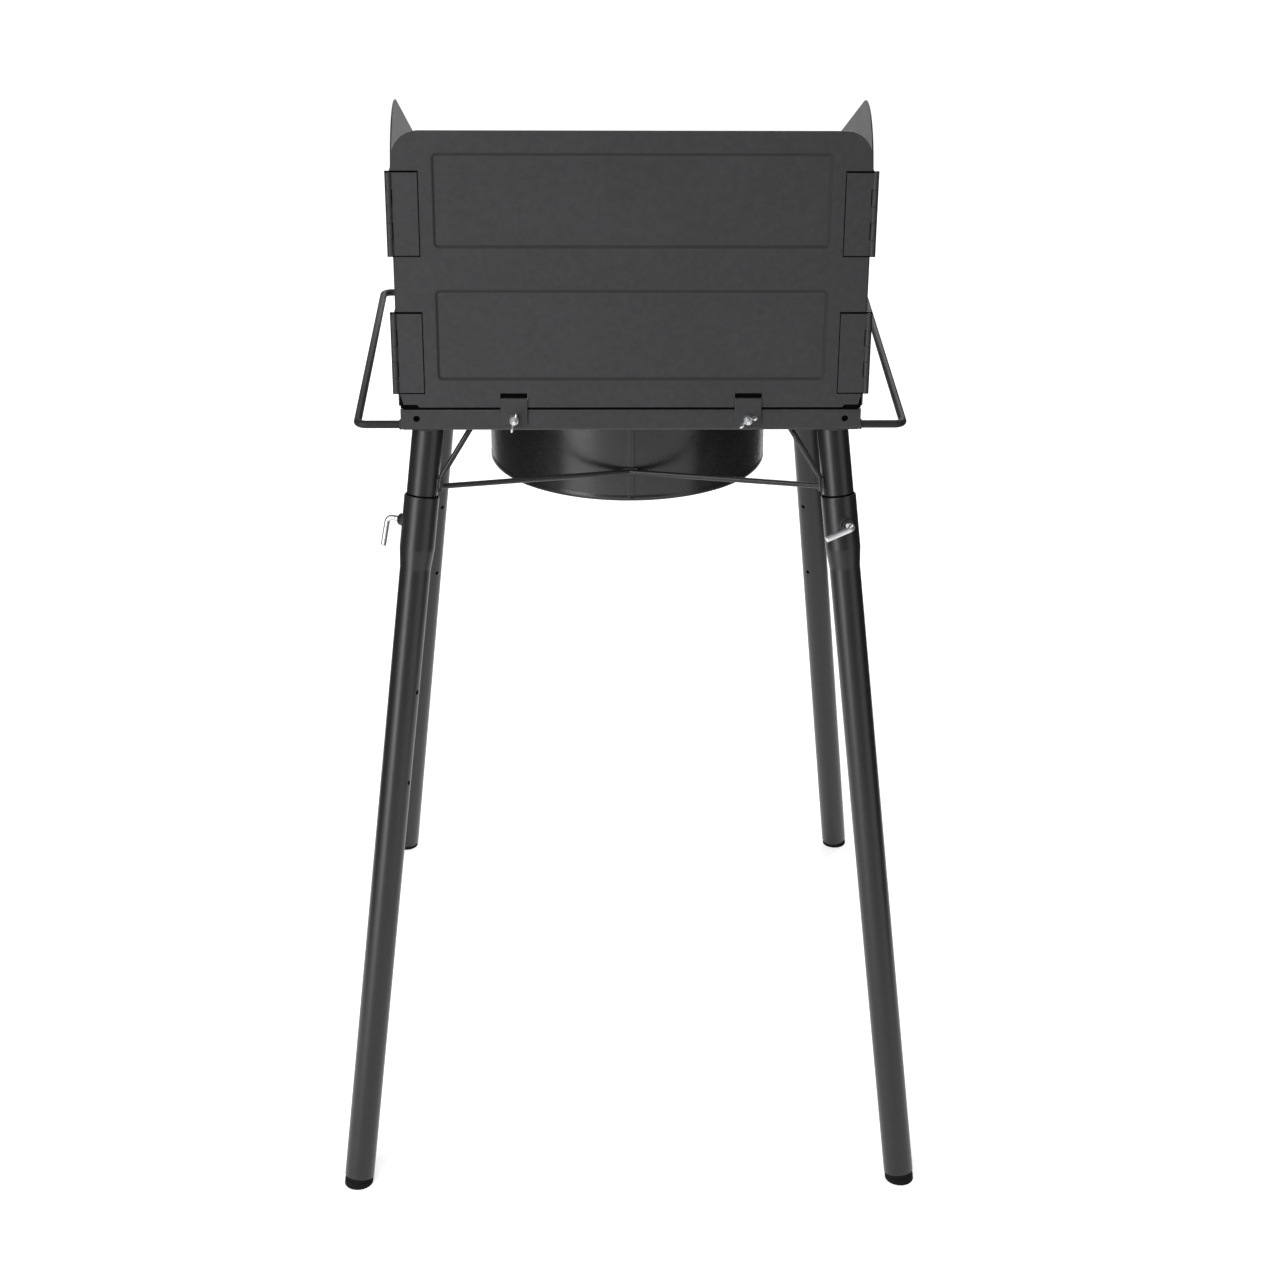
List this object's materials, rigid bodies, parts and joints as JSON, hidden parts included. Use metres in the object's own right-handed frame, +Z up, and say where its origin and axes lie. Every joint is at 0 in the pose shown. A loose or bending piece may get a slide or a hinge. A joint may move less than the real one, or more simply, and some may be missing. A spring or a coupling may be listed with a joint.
{
  "type": "single burner gas stove on legs",
  "caption": "Free-standing single burner gas stove on splayed slip-on legs, with side carry handles and a folding windscreen that lifts off.",
  "frame": {"origin": "on the floor, midway between the four feet", "axes": "+Z up; -Y towards the cook, the side of the gas knob; +Y the back of the windscreen; +X the cook's right"},
  "size_m": [0.551, 0.6802, 1.0025],
  "materials": {
    "satin_black_paint": "satin black powder coat",
    "dark_grey_paint": "satin dark grey powder coat",
    "black_rubber": "matte rubber",
    "zinc_plated_steel": "bright zinc plate",
    "plain_steel": "turned steel",
    "cast_aluminium": "as cast",
    "brass": "turned brass",
    "black_plastic": "fine satin moulding"
  },
  "bodies": {
    "frame": {"back_rail": "satin_black_paint", "front_rail": "satin_black_paint", "left_rail": "satin_black_paint", "right_rail": "satin_black_paint", "left_handle": "satin_black_paint", "right_handle": "satin_black_paint", "cooking_grate": "satin_black_paint", "back_right_stub": "satin_black_paint", "back_left_stub": "satin_black_paint", "front_right_stub": "satin_black_paint", "front_left_stub": "satin_black_paint", "back_right_brace": "satin_black_paint", "back_left_brace": "satin_black_paint", "front_right_brace": "satin_black_paint", "front_left_brace": "satin_black_paint", "back_cross_rod": "satin_black_paint", "front_cross_rod": "satin_black_paint", "burner_drum": "satin_black_paint", "burner_body": "cast_aluminium", "burner_lid": "cast_aluminium", "burner_strap": "satin_black_paint", "burner_bolt": "zinc_plated_steel", "control_panel": "satin_black_paint", "gas_valve": "brass", "gas_jet": "brass", "gas_inlet": "brass", "panel_nut": "zinc_plated_steel", "left_clip_bolt": "zinc_plated_steel", "right_clip_bolt": "zinc_plated_steel"},
    "back_right_leg": {"back_right_leg": "satin_black_paint", "back_right_foot": "black_rubber"},
    "back_right_lock_screw": {"back_right_lock_screw": "zinc_plated_steel"},
    "back_left_leg": {"back_left_leg": "satin_black_paint", "back_left_foot": "black_rubber"},
    "back_left_lock_screw": {"back_left_lock_screw": "zinc_plated_steel"},
    "front_right_leg": {"front_right_leg": "satin_black_paint", "front_right_foot": "black_rubber"},
    "front_right_lock_screw": {"front_right_lock_screw": "zinc_plated_steel"},
    "front_left_leg": {"front_left_leg": "satin_black_paint", "front_left_foot": "black_rubber"},
    "front_left_lock_screw": {"front_left_lock_screw": "zinc_plated_steel"},
    "windscreen": {"windscreen_back": "dark_grey_paint", "left_upper_panel_leaf": "dark_grey_paint", "left_lower_panel_leaf": "dark_grey_paint", "right_upper_panel_leaf": "dark_grey_paint", "right_lower_panel_leaf": "dark_grey_paint", "left_clip": "dark_grey_paint", "right_clip": "dark_grey_paint"},
    "left_wing": {"left_wing": "dark_grey_paint", "left_upper_wing_leaf": "dark_grey_paint", "left_lower_wing_leaf": "dark_grey_paint"},
    "left_wing_nut": {"left_wing_nut": "zinc_plated_steel"},
    "right_wing": {"right_wing": "dark_grey_paint", "right_upper_wing_leaf": "dark_grey_paint", "right_lower_wing_leaf": "dark_grey_paint"},
    "right_wing_nut": {"right_wing_nut": "zinc_plated_steel"},
    "knob": {"control_knob": "black_plastic", "valve_stem": "plain_steel"},
    "air_shutter": {"air_shutter": "zinc_plated_steel"}
  },
  "joints": [
    {"name": "back_right_leg_slide", "type": "slide", "parent": "frame", "child": "back_right_leg", "axis": [0.1101, 0.1833, -0.9769], "range_m": [0, 0.06]},
    {"name": "back_right_lock_screw_turn", "type": "hinge", "parent": "back_right_leg", "child": "back_right_lock_screw", "pos_m": [0.19001, 0.20667, 0.6372], "axis": [0.8933, -0.4491, 0.0164], "range_deg": [0, 540]},
    {"name": "back_left_leg_slide", "type": "slide", "parent": "frame", "child": "back_left_leg", "axis": [-0.1101, 0.1833, -0.9769], "range_m": [0, 0.06]},
    {"name": "back_left_lock_screw_turn", "type": "hinge", "parent": "back_left_leg", "child": "back_left_lock_screw", "pos_m": [-0.19001, 0.20667, 0.6372], "axis": [-0.2405, 0.9487, 0.2052], "range_deg": [0, 540]},
    {"name": "front_right_leg_slide", "type": "slide", "parent": "frame", "child": "front_right_leg", "axis": [0.1101, -0.1833, -0.9769], "range_m": [0, 0.06]},
    {"name": "front_right_lock_screw_turn", "type": "hinge", "parent": "front_right_leg", "child": "front_right_lock_screw", "pos_m": [0.19001, -0.20667, 0.6372], "axis": [0.6521, -0.7284, 0.2102], "range_deg": [0, 540]},
    {"name": "front_left_leg_slide", "type": "slide", "parent": "frame", "child": "front_left_leg", "axis": [-0.1101, -0.1833, -0.9769], "range_m": [0, 0.06]},
    {"name": "front_left_lock_screw_turn", "type": "hinge", "parent": "front_left_leg", "child": "front_left_lock_screw", "pos_m": [-0.19001, -0.20667, 0.6372], "axis": [-0.6521, -0.7284, 0.2102], "range_deg": [0, 540]},
    {"name": "windscreen_lift_off", "type": "slide", "parent": "frame", "child": "windscreen", "axis": [0, 0, 1], "range_m": [0, 0.06]},
    {"name": "left_wing_fold", "type": "hinge", "parent": "windscreen", "child": "left_wing", "pos_m": [-0.2057, 0.21145, 0.87], "axis": [0, 0, -1], "range_deg": [0, 270]},
    {"name": "left_wing_nut_turn", "type": "hinge", "parent": "frame", "child": "left_wing_nut", "pos_m": [-0.103, 0.2121, 0.7377], "axis": [0, 1, 0], "range_deg": [0, 540]},
    {"name": "right_wing_fold", "type": "hinge", "parent": "windscreen", "child": "right_wing", "pos_m": [0.2057, 0.21145, 0.87], "axis": [0, 0, 1], "range_deg": [0, 267]},
    {"name": "right_wing_nut_turn", "type": "hinge", "parent": "frame", "child": "right_wing_nut", "pos_m": [0.103, 0.2121, 0.7377], "axis": [0, 1, 0], "range_deg": [0, 540]},
    {"name": "gas_valve_turn", "type": "hinge", "parent": "frame", "child": "knob", "pos_m": [0, -0.2075, 0.692], "axis": [0, -1, 0], "range_deg": [0, 180]},
    {"name": "air_shutter_turn", "type": "hinge", "parent": "frame", "child": "air_shutter", "pos_m": [0, -0.15, 0.692], "axis": [0, -1, 0], "range_deg": [-35, 25]}
  ]
}
